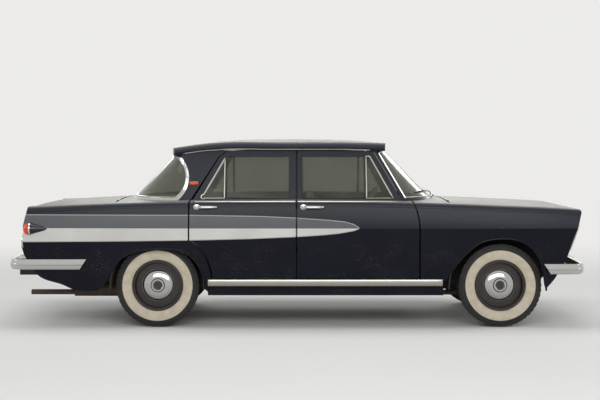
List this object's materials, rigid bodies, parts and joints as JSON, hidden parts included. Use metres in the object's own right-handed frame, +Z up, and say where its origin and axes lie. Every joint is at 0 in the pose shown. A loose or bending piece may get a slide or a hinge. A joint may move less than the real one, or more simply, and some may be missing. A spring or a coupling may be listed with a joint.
{
  "type": "classic car",
  "caption": "Four-door saloon car with hinged doors, bonnet and boot lid, steered front wheels and turning road wheels.",
  "frame": {"origin": "on the ground under the middle of the car's length and width", "axes": "+X to the front of the car, +Y to its left side, +Z up"},
  "size_m": [4.6195, 1.7014, 1.4888],
  "materials": {
    "paint": "gloss",
    "chrome": "polished",
    "glass": "clear",
    "tyre": "matt",
    "rim": "gloss",
    "underbody": "matt",
    "iron": "rough",
    "steel": "plain",
    "seat": "woven",
    "dash": "matt",
    "lens": "clear",
    "lamp": "ribbed"
  },
  "bodies": {
    "body": {"floor_pan": "underbody", "side_frames": "paint", "front_wings": "paint", "rear_quarters": "paint", "roof": "paint", "windscreen_frame": "chrome", "windscreen": "glass", "rear_window_frame": "chrome", "rear_window": "glass", "scuttle": "paint", "rear_deck": "paint", "tail_panel": "paint", "nose_panel": "paint", "grille": "chrome", "headlamps": "lamp", "side_lamps": "lamp", "tail_lamps": "lens", "front_bumper": "chrome", "rear_bumper": "chrome", "bumper_irons": "underbody", "engine": "iron", "propshaft": "steel", "radiator": "underbody", "dashboard": "dash", "front_seat": "seat", "rear_seat": "seat", "front_suspension": "underbody", "rear_axle": "underbody", "exhaust": "steel", "fuel_tank": "underbody", "wheelhouses": "underbody"},
    "bonnet": {"bonnet": "paint"},
    "boot_lid": {"boot_lid": "paint"},
    "steering_wheel": {"steering_wheel": "dash"},
    "door_front_left": {"door_front_left": "paint", "glass_front_left": "glass"},
    "wheel_front_left": {"wheel_front_left": "rim", "tyre_front_left": "tyre"},
    "door_front_right": {"door_front_right": "paint", "glass_front_right": "glass"},
    "wheel_front_right": {"wheel_front_right": "rim", "tyre_front_right": "tyre"},
    "door_rear_left": {"door_rear_left": "paint", "glass_rear_left": "glass"},
    "wheel_rear_left": {"wheel_rear_left": "rim", "tyre_rear_left": "tyre"},
    "door_rear_right": {"door_rear_right": "paint", "glass_rear_right": "glass"},
    "wheel_rear_right": {"wheel_rear_right": "rim", "tyre_rear_right": "tyre"},
    "knuckle_left": {"knuckle_left": "iron"},
    "knuckle_right": {"knuckle_right": "iron"}
  },
  "joints": [
    {"name": "door_front_left_hinge", "type": "hinge", "parent": "body", "child": "door_front_left", "pos_m": [0.99, 0.815, 0.665], "axis": [0, 0, -1], "range_deg": [0, 60]},
    {"name": "door_front_right_hinge", "type": "hinge", "parent": "body", "child": "door_front_right", "pos_m": [0.99, -0.815, 0.665], "axis": [0, 0, 1], "range_deg": [0, 60]},
    {"name": "door_rear_left_hinge", "type": "hinge", "parent": "body", "child": "door_rear_left", "pos_m": [0.023, 0.815, 0.665], "axis": [0, 0, -1], "range_deg": [0, 60]},
    {"name": "door_rear_right_hinge", "type": "hinge", "parent": "body", "child": "door_rear_right", "pos_m": [0.023, -0.815, 0.665], "axis": [0, 0, 1], "range_deg": [0, 60]},
    {"name": "bonnet_hinge", "type": "hinge", "parent": "body", "child": "bonnet", "pos_m": [1.215, 0, 0.99], "axis": [0, -1, 0], "range_deg": [0, 55]},
    {"name": "boot_hinge", "type": "hinge", "parent": "body", "child": "boot_lid", "pos_m": [-1.44, 0, 0.989], "axis": [0, 1, 0], "range_deg": [0, 60]},
    {"name": "steer_left", "type": "hinge", "parent": "body", "child": "knuckle_left", "pos_m": [1.609, 0.615, 0.328], "axis": [0, 0, 1], "range_deg": [-30, 30]},
    {"name": "steer_right", "type": "hinge", "parent": "body", "child": "knuckle_right", "pos_m": [1.609, -0.615, 0.328], "axis": [0, 0, 1], "range_deg": [-30, 30]},
    {"name": "steering_wheel_turn", "type": "hinge", "parent": "body", "child": "steering_wheel", "pos_m": [0.6, 0.35, 0.905], "axis": [-0.848, 0, 0.5299], "range_deg": [-450, 450]},
    {"name": "wheel_front_left_spin", "type": "hinge", "parent": "knuckle_left", "child": "wheel_front_left", "pos_m": [1.609, 0.69, 0.328], "axis": [0, 1, 0], "continuous": true},
    {"name": "wheel_front_right_spin", "type": "hinge", "parent": "knuckle_right", "child": "wheel_front_right", "pos_m": [1.609, -0.69, 0.328], "axis": [0, 1, 0], "continuous": true},
    {"name": "wheel_rear_left_spin", "type": "hinge", "parent": "body", "child": "wheel_rear_left", "pos_m": [-1.098, 0.69, 0.328], "axis": [0, 1, 0], "continuous": true},
    {"name": "wheel_rear_right_spin", "type": "hinge", "parent": "body", "child": "wheel_rear_right", "pos_m": [-1.098, -0.69, 0.328], "axis": [0, 1, 0], "continuous": true}
  ],
  "couplings": [
    {"joint": "steer_right", "follows": "steer_left", "ratio": 1},
    {"joint": "steering_wheel_turn", "follows": "steer_left", "ratio": 15}
  ]
}
